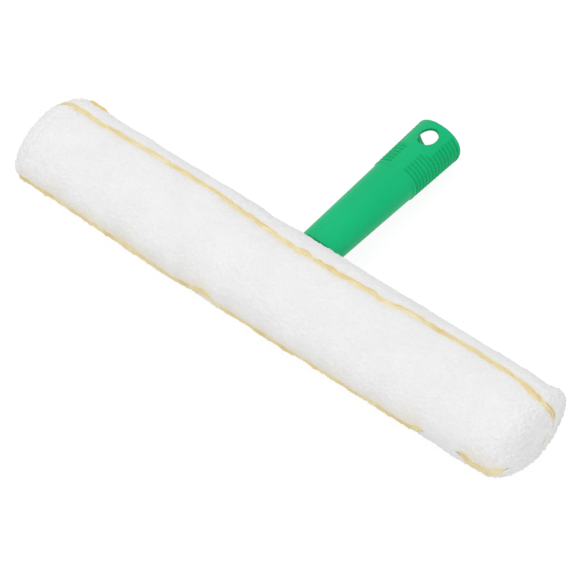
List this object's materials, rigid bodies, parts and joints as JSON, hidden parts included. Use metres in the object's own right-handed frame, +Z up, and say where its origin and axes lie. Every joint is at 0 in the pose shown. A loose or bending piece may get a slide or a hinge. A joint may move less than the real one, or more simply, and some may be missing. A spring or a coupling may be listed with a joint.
{
  "type": "window strip washer",
  "caption": "Plush washing sleeve with yellow seams on a T-bar with a tapered, ribbed tubular handle and a hang hole; the sleeve's end flap opens and it pulls off lengthwise.",
  "frame": {"origin": "on the table under the middle of the crossbar, on the sleeve's flat underside", "axes": "+X along the crossbar towards the sleeve's closed end, +Y from the crossbar to the handle's free end, +Z up from the table"},
  "size_m": [0.36, 0.182, 0.047],
  "materials": {
    "handle_plastic": "satin moulded polypropylene",
    "bar_plastic": "satin moulded polypropylene",
    "screw_steel": "zinc plated",
    "plush": "dense short pile",
    "seam_yarn": "overlocked yarn",
    "hem_yarn": "overlocked yarn",
    "hook_tape": "woven hook tape",
    "loop_tape": "brushed loop tape",
    "lining_cloth": "plain knit backing"
  },
  "bodies": {
    "t_bar": {"handle": "handle_plastic", "crossbar": "bar_plastic", "end_cap_left": "bar_plastic", "end_cap_right": "bar_plastic", "saddle_screw_left": "screw_steel", "saddle_screw_right": "screw_steel"},
    "sleeve": {"plush_top": "plush", "plush_bottom": "plush", "plush_back": "plush", "seam_top": "seam_yarn", "seam_front": "seam_yarn", "seam_bottom": "seam_yarn", "slit_lip_upper": "plush", "slit_lip_lower": "plush", "slit_hem_upper": "hem_yarn", "slit_hem_lower": "hem_yarn", "neck_binding": "hem_yarn", "mouth_binding": "hem_yarn", "hook_patch": "hook_tape"},
    "end_flap": {"flap_plush": "plush", "flap_seam_top": "seam_yarn", "flap_seam_front": "seam_yarn", "flap_seam_bottom": "seam_yarn", "flap_lining": "lining_cloth", "loop_patch": "loop_tape"}
  },
  "joints": [
    {"name": "sleeve_slide", "type": "slide", "parent": "t_bar", "child": "sleeve", "axis": [1, 0, 0], "range_m": [0, 0.345], "deforming": ["slit_lip_upper", "slit_lip_lower", "slit_hem_upper", "slit_hem_lower", "flap_plush", "flap_seam_top", "flap_seam_front", "flap_seam_bottom", "flap_lining", "loop_patch"]},
    {"name": "end_flap_hinge", "type": "hinge", "parent": "sleeve", "child": "end_flap", "pos_m": [-0.16515, 0.00172, 0.04714], "axis": [0, 0.9974, -0.0717], "range_deg": [0, 150]}
  ]
}
